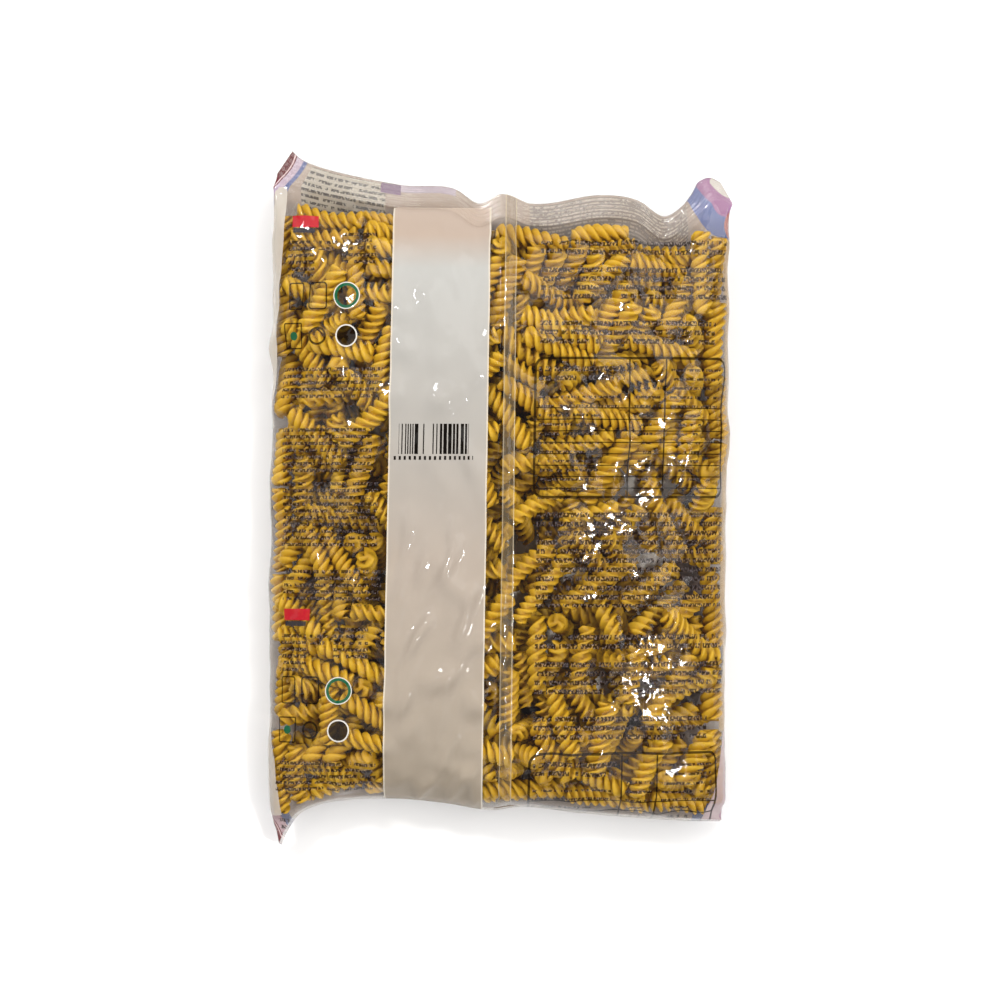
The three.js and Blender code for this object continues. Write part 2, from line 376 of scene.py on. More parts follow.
def even_places(place, full, count, finest=4000):
    """Values of place, a function of an angle from -90 to 90 degrees, evenly spaced along a curve."""
    angle = np.linspace(-math.pi / 2, math.pi / 2, finest)
    where = place(angle)
    length = np.concatenate([[0], np.cumsum(np.hypot(np.diff(where), np.diff(full(where))))])
    return np.interp(np.linspace(0, length[-1], count + 1), length, where)


# The spirals and where they lie


def spiral_lines():
    """Ends of the spirals that press against the film, as the solid's relief has them."""
    state = LINE_SEED
    lines = []

    def draw():
        nonlocal state
        state = (state * 1664525 + 1013904223) % 2**32
        return state / 2**32

    for _ in range(LINE_TRIES):
        middle = np.array([(2 * draw() - 1) * HALF_WIDTH, (2 * draw() - 1) * BODY_REACH])
        turn = draw() * math.pi
        along = LINE_REACH * np.array([math.cos(turn), math.sin(turn)])
        line = np.array([middle - along, middle + along])
        others = np.array(lines).reshape(-1, 2, 2)
        gaps, _, _ = nearest_gaps(*line, others[:, 0], others[:, 1])
        if np.all(norm(gaps, axis=-1) > LINE_SPACING):
            lines.append(line)
    return np.array(lines)


def nearest_gaps(a0, a1, b0, b1):
    """Vectors between two sets of lines where each pair comes nearest, and the shares along both."""
    u, v, w = a1 - a0, b1 - b0, a0 - b0
    a, b, c = (u * u).sum(-1), (u * v).sum(-1), (v * v).sum(-1)
    d, e = (u * w).sum(-1), (v * w).sum(-1)
    s = np.clip((b * e - c * d) / np.maximum(a * c - b * b, 1e-6), 0, 1)
    t = np.clip((b * s + e) / c, 0, 1)
    s = np.clip((b * t - d) / a, 0, 1)
    return a0 + s[:, None] * u - (b0 + t[:, None] * v), s, t


def start_places(random):
    """Ends and lengths of all spirals before packing: a back layer, a front layer, a rim and a heap."""
    lines = spiral_lines() + np.array([0, CENTRE_SHIFT])
    lengths = random.choice(SPIRAL_LENGTHS, SPIRAL_COUNT)
    ends = np.zeros((SPIRAL_COUNT, 2, 3))
    n = len(lines)
    for layer, height in enumerate(LAYER_HEIGHTS):
        ends[layer * n:(layer + 1) * n, :, :2] = lines
        ends[layer * n:(layer + 1) * n, :, 2] = height
    ends[:2 * n, :, 2] += random.normal(0, LAYER_SCATTER, (2 * n, 2))
    rim = rim_places()
    m = 2 * n + len(rim)
    ends[2 * n:m] = rim + random.normal(0, RIM_SCATTER, rim.shape)
    rest = SPIRAL_COUNT - m
    middles = random.uniform(*HEAP, (rest, 3))
    middles[:UPRIGHT_COUNT] *= UPRIGHT_SPREAD
    middles[:UPRIGHT_COUNT, 2] = UPRIGHT_HEIGHT
    lengths[m:m + UPRIGHT_COUNT] = SPIRAL_LENGTHS[0]
    turns = random.uniform(0, math.pi, rest)
    tilts = random.normal(0, 0.4, rest)
    tilts[:UPRIGHT_COUNT] = random.normal(1.05, 0.25, UPRIGHT_COUNT)
    along = np.stack([np.cos(turns) * np.cos(tilts), np.sin(turns) * np.cos(tilts), np.sin(tilts)], -1)
    ends[m:, 0] = middles - along * LINE_REACH
    ends[m:, 1] = middles + along * LINE_REACH
    return ends, lengths


def lowest_fill(x):
    """Y of the filling's lower edge."""
    return np.maximum(FILL_BOTTOM, smooth_through(BOTTOM_EDGE, x) + BOTTOM_SEAL_REACH - BOTTOM_EASE)


def rim_places():
    """Ends of the spirals that lie along the sides, the top and the bottom of the filling."""
    places = []
    half = SPIRAL_LENGTHS[1] / 2
    for y in np.arange(*RIM_Y, RIM_SPACING):
        for x in (-FILL_SIDE, FILL_SIDE):
            places.append([(x, y - half, SIDE_HEIGHT + 1), (x, y + half, SIDE_HEIGHT + 1)])
    for x in np.arange(*RIM_X, RIM_SPACING):
        low = lowest_fill(x) + SPIRAL_RADIUS
        high = smooth_through(FILL_TOP, x) - SPIRAL_RADIUS
        places.append([(x - half, low, SIDE_HEIGHT), (x + half, low, SIDE_HEIGHT)])
        places.append([(x - half, high, SIDE_HEIGHT + 6), (x + half, high, SIDE_HEIGHT + 6)])
    return np.array(places)


def pack_spirals(solid_tree):
    """Moves the spirals apart, and inside the solid's surface, until they lie as they would in the bag."""
    random = np.random.default_rng(PACK_SEED)
    ends, lengths = start_places(random)
    straight = (lengths - 2 * PACK_RADIUS * PACK_END)[:, None]
    count = len(ends)
    first, second = np.triu_indices(count, 1)
    close = None
    for step in range(PACK_STEPS):
        ends[..., 2] -= WEIGHT
        ends[..., 1] += END_PRESS * np.sign(ends[..., 1]) * (np.abs(ends[..., 1]) > END_PRESS_FROM)
        if step % PAIR_STEPS == 0:
            middles = ends.mean(1)
            apart = norm(middles[first] - middles[second], axis=-1)
            close = apart < (lengths[first] + lengths[second]) / 2 + PAIR_MARGIN
        i, j = first[close], second[close]
        gap, s, t = nearest_gaps(ends[i, 0], ends[i, 1], ends[j, 0], ends[j, 1])
        distance = np.maximum(norm(gap, axis=-1), 1e-4)
        push = np.maximum(0, 2 * PACK_RADIUS - distance) * 0.5
        move = gap / distance[:, None] * push[:, None]
        total = np.zeros_like(ends)
        hits = np.zeros((count, 2, 1))
        for which, share, sign in ((i, s, 1), (j, t, -1)):
            for end, weight in ((0, 1 - share), (1, share)):
                np.add.at(total, (which, end), sign * move * weight[:, None])
                np.add.at(hits, (which, end), (weight * (push > 0))[:, None])
        ends += total / np.maximum(1, hits * 0.6)
        keep_inside(ends, solid_tree)
        middles = ends.mean(1, keepdims=True)
        along = ends[:, 1] - ends[:, 0]
        along /= norm(along, axis=-1, keepdims=True)
        half = (along * straight / 2)[:, None]
        ends = middles + np.concatenate([-half, half], 1)
    return ends, lengths


def keep_inside(ends, solid_tree):
    """Pushes ends and middles of the spirals in from the solid's surface and the filling's edges."""
    points = np.concatenate([ends, ends.mean(1, keepdims=True)], 1)
    for i, three in enumerate(points):
        for k, point in enumerate(three):
            place = Vector(point * MM)
            place.y += BOTTOM_EASE * MM * min(1, max(0, 0.5 - point[1] / EASE_LENGTH))
            near, normal, _, _ = solid_tree.find_nearest(place)
            outside = (place - near).dot(normal) / MM
            depth = outside + SPIRAL_RADIUS + PACK_MARGIN
            if depth > 0:
                move = -np.array(normal) * depth
                if k < 2:
                    ends[i, k] += move
                else:
                    ends[i] += move
    ends[..., 0] = np.clip(ends[..., 0], -FILL_SIDE, FILL_SIDE)
    top = smooth_through(FILL_TOP, ends[..., 0])
    ends[..., 1] = np.clip(ends[..., 1], lowest_fill(ends[..., 0]) + SPIRAL_RADIUS, top - SPIRAL_RADIUS)
    ends[..., 2] = np.maximum(ends[..., 2], SPIRAL_RADIUS + FLOOR_GAP)


def model_spiral(length, sides, steps_in_pitch):
    """One spiral of dough, its three-winged section turned along Z: corners, faces, shares of the radius."""
    bpy.ops.object.select_all(action="DESELECT")
    bpy.ops.mesh.primitive_circle_add(vertices=sides, radius=SPIRAL_RADIUS * MM)
    piece = bpy.context.object
    for corner in piece.data.vertices:
        angle = math.atan2(corner.co.y, corner.co.x)
        from_crest = abs((angle / (2 * math.pi / 3) + 0.5) % 1 - 0.5) * 2
        swell = math.sqrt(max(0, 1 - (from_crest / WING_SPREAD) ** WING_ROUNDNESS))
        radius = SPIRAL_CORE + (SPIRAL_RADIUS - SPIRAL_CORE) * swell
        leaned = angle + WING_LEAN * swell
        corner.co = Vector((radius * math.cos(leaned), radius * math.sin(leaned), 0)) * MM
    turns = length / SPIRAL_PITCH
    sweep = piece.modifiers.new("sweep", "SCREW")
    sweep.axis = "Z"
    sweep.angle = 2 * math.pi * turns
    sweep.screw_offset = length * MM
    sweep.steps = sweep.render_steps = round(turns * steps_in_pitch)
    bpy.ops.object.modifier_apply(modifier=sweep.name)
    bpy.ops.object.mode_set(mode="EDIT")
    bpy.ops.mesh.select_all(action="SELECT")
    bpy.ops.mesh.fill_holes(sides=0)
    bpy.ops.mesh.select_all(action="SELECT")
    bpy.ops.mesh.quads_convert_to_tris()
    bpy.ops.mesh.normals_make_consistent(inside=False)
    bpy.ops.object.mode_set(mode="OBJECT")
    mesh = piece.data
    corners = np.array([v.co for v in mesh.vertices]) / MM
    corners[:, 2] -= length / 2
    wings = np.hypot(corners[:, 0], corners[:, 1]) / SPIRAL_RADIUS
    faces = np.array([p.vertices[:] for p in mesh.polygons])
    bpy.data.objects.remove(piece)
    return corners, faces, wings


def make_uneven(corners, random):
    """A spiral as it dried: bent, more or less twisted, and thicker in some places than in others."""
    x, y, z = corners.T
    waves = random.uniform(0, 2 * math.pi, 3)
    twist = random.normal(0, 0.03) * z + 0.35 * np.sin(z / 5.5 + waves[0])
    width = random.normal(0.98, 0.06) * (1 + 0.07 * np.sin(z / 3.7 + waves[1]))
    # The cutter pinches the dough at both ends
    from_end = np.ptp(z) / 2 - np.abs(z)
    width = np.clip(width, 0.86, 1.07) * (1 - PINCH * np.clip(1 - from_end / PINCH_LENGTH, 0, 1) ** 2)
    bend = min(abs(random.normal(0, 1.1)), MOST_BEND)
    sag = bend * (0.4 - (2 * z / np.ptp(z)) ** 2)
    return np.stack([
        width * (x * np.cos(twist) - y * np.sin(twist)) + sag * math.cos(waves[2]),
        width * (x * np.sin(twist) + y * np.cos(twist)) + sag * math.sin(waves[2]),
        z,
    ], -1)


def turn_to(along, roll):
    """A rotation that takes Z to a direction, with a roll about it."""
    z = along / norm(along)
    x = np.cross(z, (0.3, 0.2, 0.93))
    x /= norm(x)
    y = np.cross(z, x)
    c, s = math.cos(roll), math.sin(roll)
    return np.stack([c * x + s * y, c * y - s * x, z], -1)


def join_spirals(name, ends, lengths, detail, finish, random):
    """One mesh of the spirals with these ends."""
    models = {length: model_spiral(length, *detail) for length in SPIRAL_LENGTHS}
    corners, faces, wings, tones = [], [], [], []
    start = 0
    for pair, length in zip(ends, lengths):
        shape, triangles, wing = models[length]
        turn = turn_to(pair[1] - pair[0], random.uniform(0, 2 * math.pi))
        placed = make_uneven(shape, random) @ turn.T + pair.mean(0)
        placed[:, 2] += max(0, FILM_GAP + 0.1 - placed[:, 2].min())
        corners.append(placed)
        faces.append(triangles + start)
        wings.append(wing)
        tones.append(np.full(len(shape), random.uniform()))
        start += len(shape)
    mesh = bpy.data.meshes.new(name)
    mesh.from_pydata(np.concatenate(corners) * MM, [], np.concatenate(faces))
    mesh.shade_smooth()
    store(mesh, wing=np.concatenate(wings), tone=np.concatenate(tones))
    mesh.materials.append(finish)
    return new_object(name, mesh)


# The film


def film_columns():
    """u of each column of the back, with four of them on the steps of the fin seam."""
    even = even_places(np.sin, lambda u: (BACK_RISE + FRONT_DROP) / 2 / HALF_WIDTH * full_across(u), COLUMNS)
    steps = np.array([SEAM_LEFT - SEAM_WALL, SEAM_LEFT, SEAM_RIGHT, SEAM_RIGHT + SEAM_WALL]) / HALF_WIDTH
    near = [int(np.argmin(np.abs(even - steps[0]))), int(np.argmin(np.abs(even - steps[3])))]
    even[near[0]:near[0] + 2] = steps[:2]
    even[near[1] - 1:near[1] + 1] = steps[2:]
    middle = slice(near[0] + 1, near[1])
    even[middle] = np.linspace(steps[1], steps[2], near[1] - near[0] - 1)
    return even


def film_rows():
    """v along the body and out over the seals, for each row from the bottom's cut edge to the top's."""
    body = even_places(np.sin, lambda v: 0.3 * full_along(v), BODY_ROWS)
    seal = np.linspace(0, 1, SEAL_ROWS + 1)[1:]
    v = np.concatenate([np.full(SEAL_ROWS, -1.0), body, np.full(SEAL_ROWS, 1.0)])
    out = np.concatenate([seal[::-1], np.zeros(BODY_ROWS + 1), seal])
    return v[:, None], out[:, None]


def around(back, front):
    """Puts back and front side by side as the tube runs, from the front's middle round the left side."""
    middle = back.shape[1] // 2
    return np.concatenate([front[:, middle:0:-1], back[:, :-1], front[:, :middle - 1:-1]], 1)


def away_from_lines(points, starts, along):
    """Vectors to points from the nearest places on lines."""
    share = np.clip(((points - starts) * along).sum(-1) / (along * along).sum(-1), 0, 1)
    return points - starts - share[..., None] * along


def wrap_film(skin, free, outward, ends):
    """Draws the film tight, keeps it outside the spirals and above the surface that the bag lies on."""
    rows, ring = skin.shape[:2]
    starts = ends[:, 0]
    along = ends[:, 1] - starts
    points = skin.reshape(-1, 3)
    nearest = np.empty((len(points), WRAP_SPIRALS), int)
    part = 4000
    for k in range(0, len(points), part):
        distance = norm(away_from_lines(points[k:k + part, None], starts, along), axis=-1)
        nearest[k:k + part] = np.argpartition(distance, WRAP_SPIRALS, axis=1)[:, :WRAP_SPIRALS]
    nearest = nearest.reshape(rows, ring, -1)[:, :-1].reshape(-1, WRAP_SPIRALS)
    rest = skin[:, :-1].copy()
    straight_out = outward[:, :-1].reshape(-1, 3)
    for _ in range(WRAP_STEPS):
        ringed = skin[:, :-1]
        even = drawn_even(ringed, outward[:, :-1])
        move = WRAP_EVENING * even + WRAP_RETURN * (rest - ringed) - WRAP_PULL * outward[:, :-1]
        flat = (ringed + free * move).reshape(-1, 3)
        for which in nearest.T:
            away = away_from_lines(flat, starts[which], along[which])
            distance = np.maximum(norm(away, axis=-1), 1e-4)
            short = np.maximum(0, WRAP_RADIUS - distance)
            towards = np.maximum(0, (away * straight_out).sum(-1) / distance)
            flat = flat + straight_out * (short * towards)[:, None]
        moved = flat.reshape(rows, ring - 1, 3)
        moved[..., 2] = np.maximum(0, moved[..., 2])
        skin[:, :-1] = np.where(free > 0, moved, ringed)
        skin[:, -1] = skin[:, 0]
    return skin


def skin_normals(skin):
    """Outward directions of the film at its grid points."""
    ringed = skin[:, :-1]
    beside = np.roll(ringed, -1, 1) - np.roll(ringed, 1, 1)
    along = np.gradient(ringed, axis=0)
    normal = np.cross(beside, along)
    normal /= np.maximum(norm(normal, axis=-1, keepdims=True), 1e-9)
    return np.concatenate([normal, normal[:, :1]], 1)


def drawn_even(ringed, normal):
    """How far the film's tension moves each point along its normal."""
    beside = (np.roll(ringed, 1, 1) + np.roll(ringed, -1, 1)) / 2
    above = ringed.copy()
    above[1:-1] = (ringed[2:] + ringed[:-2]) / 2
    return (((beside + above) / 2 - ringed) * normal).sum(-1, keepdims=True) * normal


def near_values(grid):
    """A grid's values at each place and its eight neighbours, round the tube and up to its ends."""
    tall = np.pad(grid, ((1, 1), (0, 0)), "edge")
    rows = len(grid)
    return np.stack([np.roll(tall[j:j + rows], i, 1) for i in (-1, 0, 1) for j in (0, 1, 2)])


def moved_out(skin, outward, lift):
    """The film moved out by a lift at each point, and kept above the surface that the bag lies on."""
    skin = skin + outward * lift[..., None]
    skin[..., 2] = np.maximum(0, skin[..., 2])
    skin[:, -1] = skin[:, 0]
    return skin


def swelled(skin, outward, body, lift, cells):
    """The film moved out in swells some cells wide, nowhere by less than a lift."""
    # The means stay above what is needed, as they take in no more cells than the maxima did
    for _ in range(cells):
        lift = near_values(lift).max(0)
    for _ in range(cells):
        lift = near_values(lift).mean(0)
    return moved_out(skin, outward, np.concatenate([lift, lift[:, :1]], 1) * body)


def lift_over(skin, outward, body, tree, cells):
    """Moves the film out to where it clears everything in the bag by its gap."""
    lift = np.zeros((skin.shape[0], skin.shape[1] - 1))
    for j, row in enumerate(skin):
        for i, point in enumerate(row[:-1]):
            out = Vector(outward[j, i])
            start = Vector(point) + out * LIFT_REACH
            hit, _, _, distance = tree.ray_cast(start * MM, -out, 2 * LIFT_REACH * MM)
            if hit is not None:
                lift[j, i] = min(max(0, LIFT_REACH - distance / MM + FILM_GAP), MOST_LIFT)
    return swelled(skin, outward, body, lift * (body > 0), cells)


def press_out(skin, outward, body, corners, cells):
    """Moves the film out wherever a corner of a spiral is nearer to it than its gap, or past it."""
    rows, ring = skin.shape[:2]
    squares = [(j, i) for j in range(rows - 1) for i in range(ring - 1)]
    faces = [[(j + dj) * ring + i + di for dj, di in ((0, 0), (0, 1), (1, 1), (1, 0))] for j, i in squares]
    film_tree = BVHTree.FromPolygons((skin.reshape(-1, 3) * MM).tolist(), faces)
    lift = np.zeros((rows, ring - 1))
    for corner in corners:
        near, normal, face, _ = film_tree.find_nearest(corner, MOST_LIFT * MM)
        if near is None:
            continue
        need = (corner - near).dot(normal) / MM + FILM_GAP
        if need > 0:
            j, i = squares[face]
            beside = (i + 1) % (ring - 1)
            lift[j:j + 2, [i, beside]] = np.maximum(lift[j:j + 2, [i, beside]], need)
    return swelled(skin, outward, body, lift, cells)


def relax(skin, free, outward, steps):
    """Evens the film out a little, as its stiffness does."""
    for _ in range(steps):
        skin[:, :-1] += 0.5 * free * drawn_even(skin[:, :-1], outward[:, :-1])
        skin[:, -1] = skin[:, 0]
    return skin


def crease_film(skin, web, free, outward):
    """Slanting creases all over, ridges in the white strip, pleats at the seals, folds from the corners."""
    height = np.zeros(skin.shape[:2])
    ridge = np.zeros(skin.shape[:2])
    for j, row in enumerate(skin):
        for i, point in enumerate(row):
            across = point[0] * math.cos(CREASE_LEAN) + point[1] * math.sin(CREASE_LEAN)
            along = point[1] * math.cos(CREASE_LEAN) - point[0] * math.sin(CREASE_LEAN)
            place = Vector((across / CREASE_SIZE[0], along / CREASE_SIZE[1], point[2] / CREASE_SIZE[2]))
            height[j, i] = noise.ridged_multi_fractal(place, 0.9, 2.2, 2, 1.0, 2.0)
            ridge[j, i] = max(0, noise.noise(Vector((across / RIDGE_SIZE[0], along / RIDGE_SIZE[1], 9))))
    creases = CREASE_DEPTH * (height - height.mean())
    on_strip = np.clip(np.minimum(web - STRIP[0], STRIP[1] - web) / STRIP_FADE, 0, 1)
    gathered = np.clip((STRIP_SMOOTH - skin[..., 1]) / STRIP_GATHER, 0, 1)
    creases += STRIP_RIDGE * ridge * on_strip * gathered
    top = skin[-1][None, :, 1] - skin[..., 1]
    bottom = skin[..., 1] - skin[0][None, :, 1]
    from_seal = np.minimum(top, bottom) - SEAL_WIDTH
    pleat = np.abs(np.sin(web / 6.3 + 1.7 * np.sin(web / 17))) * np.exp(-(from_seal / PLEAT_REACH) ** 2)
    inward = np.where(top < bottom, *PLEAT_DEPTHS) * pleat
    for side, end in ((-1, 0), (1, -1)):
        for edge in (TOP_EDGE, BOTTOM_EDGE):
            dx = skin[..., 0] - side * HALF_WIDTH
            dy = skin[..., 1] - edge[end][1]
            away = np.hypot(dx, dy)
            fan = np.abs(np.sin(8 * np.arctan2(dy, dx) + side))
            inward = inward + FOLD_DEPTH * fan * np.exp(-away / FOLD_REACH) * np.minimum(1, away / 12)
    lift = (creases - inward * (skin[..., 2] > 1)) * free[..., 0]
    return moved_out(skin, outward, lift)


def make_film(ends, spirals_tree, corners):
    """The bag's film, a closed tube from one cut edge to the other, clear of the spirals' corners."""
    u = film_columns()[None, :]
    v, out = film_rows()
    back, front = (film_place(u, v, out, layer) for layer in (1, -1))
    skin = around(back, front)
    skin[..., 1] += CENTRE_SHIFT
    from_seam = np.abs(u * HALF_WIDTH - (SEAM_LEFT + SEAM_RIGHT) / 2) - (SEAM_RIGHT - SEAM_LEFT) / 2
    near_seam = np.clip(1 - from_seam / SEAM_PULL, 0, 1) * np.ones_like(v)
    near_seam = around(near_seam, np.zeros_like(near_seam))
    skin[..., 0] += SEAM_SLANT * (skin[..., 1] - SLANT_LEVEL) * near_seam
    shown = around(*(np.broadcast_to(layer, back.shape[:2]) for layer in (1.0, -1.0)))
    ring_u = around(*(np.broadcast_to(u, back.shape[:2]),) * 2)

    # Distance round the unrolled tube from the middle of the back
    middle_row = skin[len(skin) // 2]
    web = np.concatenate([[0], np.cumsum(norm(np.diff(middle_row, axis=0), axis=1))])
    centre = np.interp(0, middle_row[COLUMNS // 2:-COLUMNS // 2, 0], web[COLUMNS // 2:-COLUMNS // 2])
    web = np.broadcast_to(web - centre, skin.shape[:2])
    on_back = slice(COLUMNS // 2 + 1, -COLUMNS // 2 - 1)

    def web_at(x):
        return float(np.interp(x, middle_row[on_back, 0], web[0, on_back]))

    finish = clear_printed_film(web_at, float(web[0, -1]))

    # The seals are stiff. The film next to them is less free to move than in the body.
    body = (out == 0)[..., None] * np.ones((1, skin.shape[1] - 1, 1))
    from_end = np.minimum(np.arange(len(skin)), np.arange(len(skin))[::-1]) - SEAL_ROWS
    free = body * np.clip(from_end / STIFF_ROWS, 0, 1)[:, None, None]
    liftable = np.clip((from_end + 1) / 4, 0, 1)[:, None]
    outward = skin_normals(skin)
    rest_y = skin[..., 1].copy()
    skin = wrap_film(skin, free, outward, ends)
    skin = relax(lift_over(skin, outward, liftable, spirals_tree, LIFT_CELLS), free, outward, 4)
    skin = crease_film(skin, web, np.concatenate([free, free[:, :1]], 1), outward)
    pressed = np.clip((from_end + 1) / 2, 0, 1)[:, None]
    skin = press_out(skin, outward, pressed, corners, 4)
    skin = relax(skin, free, outward, 3)
    for cells in (3, 2):
        skin = press_out(skin, outward, pressed, corners, cells)

    # The fin seam stands up from the back, and the seals are crimped in ribs across the bag
    x0 = ring_u * HALF_WIDTH
    on_seam = (x0 > SEAM_LEFT - SEAM_WALL / 2) & (x0 < SEAM_RIGHT + SEAM_WALL / 2) & (shown > 0)
    inner = (out < 1) * np.ones_like(ring_u)
    skin[..., 2] += SEAM_HEIGHT * on_seam * inner
    skin[..., 2] += RIB_DEPTH * np.sin(2 * math.pi * out * SEAL_WIDTH / RIB_PITCH) * (out > 0) * inner
    open_here = inner * (np.abs(ring_u) < 1)
    skin[..., 2] += SEAL_HALF * shown * open_here * (from_end <= 4)[:, None]

    rows, ring = skin.shape[:2]
    bpy.ops.object.select_all(action="DESELECT")
    bpy.ops.mesh.primitive_grid_add(x_subdivisions=ring - 1, y_subdivisions=rows - 1, size=1)
    film = bpy.context.object
    film.name = "film_bag"
    mesh = film.data
    mesh.vertices.foreach_set("co", (skin * MM).ravel())
    corner = np.empty(len(mesh.loops), int)
    mesh.loops.foreach_get("vertex_index", corner)
    flat_web = np.stack([web, rest_y], -1).reshape(-1, 2)
    mesh.uv_layers.active.data.foreach_set("uv", flat_web[corner].ravel())
    mesh.uv_layers.active.name = "web"
    seal = (out > 0) * np.ones_like(ring_u)
    store(mesh, front=(shown < 0).astype(float), seal=seal, from_top=skin[-1, :, 1] - skin[..., 1])
    bpy.ops.object.mode_set(mode="EDIT")
    bpy.ops.mesh.select_all(action="SELECT")
    bpy.ops.mesh.remove_doubles(threshold=0.00001)
    bpy.ops.mesh.normals_make_consistent(inside=False)
    bpy.ops.object.mode_set(mode="OBJECT")
    mesh.shade_smooth()
    mesh.materials.append(finish)
    return film


# Materials


def new_material(name):
    material = bpy.data.materials.new(name)
    material.use_nodes = True
    tree = material.node_tree
    tree.nodes.clear()
    return material, tree


def dried_durum_pasta():
    """Extruded durum wheat dough, dried: amber and satin, with painted shade, darker and more saturated
    towards the core in the grooves between the wings and paler on their rims.
    """
    material, tree = new_material("dried_durum_pasta")
    stored = [add(tree, "Attribute", attribute_name=name).node for name in ("wing", "tone")]
    wing, tone = [node.outputs["Fac"] for node in stored]
    place = add(tree, "TexCoord").node.outputs["Object"]
    grain = add(tree, "TexNoise", place, 1 / (GRAIN_SPACING * MM), 3.0, noise_dimensions="3D")
    # Painted shade: the colour near the core, deep in the grooves between the wings, is darker and more
    # saturated than on the rims, in place of the shade there and the light scattered through the dough
    shaded_core = add(tree, "Mix", tone, "#9f7700", "#b08600", data_type="RGBA")
    rim = add(tree, "Mix", tone, "#b98f08", "#c8a018", data_type="RGBA")
    share = add(tree, "MapRange", wing, 0.3, 1.0, 0.0, 1.0)
    colour = add(tree, "Mix", share, shaded_core, rim, data_type="RGBA")
    shader = add(tree, "BsdfPrincipled").node
    shader.inputs["Roughness"].default_value = 0.55
    shader.inputs["IOR"].default_value = 1.45
    tree.links.new(colour, shader.inputs["Base Color"])
    bump = add(tree, "Bump", 0.25, GRAIN_DEPTH * MM)
    tree.links.new(grain, bump.node.inputs["Height"])
    tree.links.new(bump, shader.inputs["Normal"])
    add(tree, "OutputMaterial", shader.outputs[0])
    return material


def inside_box(tree, x, y, box):
    """1 inside a box given as left, right, low and high, and 0 outside it."""
    left, right, low, high = box
    in_x = add(tree, "Math", x, (left + right) / 2, (right - left) / 2, operation="COMPARE")
    in_y = add(tree, "Math", y, (low + high) / 2, (high - low) / 2, operation="COMPARE")
    return add(tree, "Math", in_x, in_y, operation="MULTIPLY")


def any_of(tree, masks):
    """1 where any of the masks is 1."""
    return reduce(lambda one, other: add(tree, "Math", one, other, operation="MAXIMUM"), masks)


def all_of(tree, masks):
    """The product of masks."""
    return reduce(lambda one, other: add(tree, "Math", one, other, operation="MULTIPLY"), masks)


def outline(tree, place, box, corner, width):
    """A frame of one line's width round a box with rounded corners."""
    left, right, low, high = box
    middle = ((left + right) / 2, (low + high) / 2, 0)
    reach = ((right - left) / 2 - corner, (high - low) / 2 - corner, 1000)
    away = add(tree, "VectorMath", place, middle, operation="SUBTRACT")
    away = add(tree, "VectorMath", away, operation="ABSOLUTE")
    past = add(tree, "VectorMath", away, reach, operation="SUBTRACT")
    past = add(tree, "VectorMath", past, (0, 0, 0), operation="MAXIMUM")
    length = add(tree, "VectorMath", past, operation="LENGTH")
    return add(tree, "Math", length, corner, width / 2, operation="COMPARE")


def round_band(tree, place, x, y, inner, outer):
    """A round band, or a disc where its inner radius is 0."""
    away = add(tree, "VectorMath", place, (x, y, 0), operation="DISTANCE")
    return add(tree, "Math", away, (inner + outer) / 2, (outer - inner) / 2, operation="COMPARE")


def small_print(tree, x, y, pitch, height):
    """Rows of short strokes that look like small print from a step away and spell nothing."""
    row = add(tree, "Math", y, 1 / pitch, operation="MULTIPLY")
    index = add(tree, "Math", row, operation="FLOOR")
    within = add(tree, "Math", row, operation="FRACT")
    line = add(tree, "Math", within, height / pitch, operation="LESS_THAN")
    cell = add(tree, "Math", x, 1 / GLYPH_GAP, operation="MULTIPLY")
    cell = add(tree, "Math", cell, operation="FLOOR")
    at_cell = add(tree, "CombineXYZ", cell, index, 0.0)
    word = add(tree, "TexWhiteNoise", at_cell, noise_dimensions="2D")
    word = add(tree, "Math", word, GAP_SHARE, operation="GREATER_THAN")
    wide = add(tree, "Math", x, 1 / GLYPH_WIDTH, operation="MULTIPLY")
    tall = add(tree, "Math", y, GLYPH_TALL / GLYPH_WIDTH, operation="MULTIPLY")
    at_glyph = add(tree, "CombineXYZ", wide, tall, 0.0)
    stroke = add(tree, "TexNoise", at_glyph, 1.0, 0.0, noise_dimensions="2D")
    stroke = add(tree, "MapRange", stroke, *GLYPH_STROKE, 0.0, 1.0)
    return all_of(tree, [line, word, stroke])


def whole_rows(block, pitch):
    """A block of print, with its low and high edge moved to where a row begins."""
    left, right, low, high = block
    return left, right, round(low / pitch) * pitch, round(high / pitch) * pitch - 0.1


def bar_code(tree, x, bars, digits):
    """Upright bars and a row of dashes below them. Neither says anything."""
    bar = add(tree, "Math", x, 1 / BAR_WIDTH, operation="MULTIPLY")
    bar = add(tree, "Math", bar, operation="FLOOR")
    bar = add(tree, "TexWhiteNoise", bar, noise_dimensions="1D")
    bar = add(tree, "Math", bar, 0.5, operation="GREATER_THAN")
    dash = add(tree, "Math", x, 1 / DIGIT_PITCH, operation="MULTIPLY")
    dash = add(tree, "Math", dash, operation="FRACT")
    dash = add(tree, "Math", dash, 0.45, operation="LESS_THAN")
    return any_of(tree, [all_of(tree, [bar, bars]), all_of(tree, [dash, digits])])


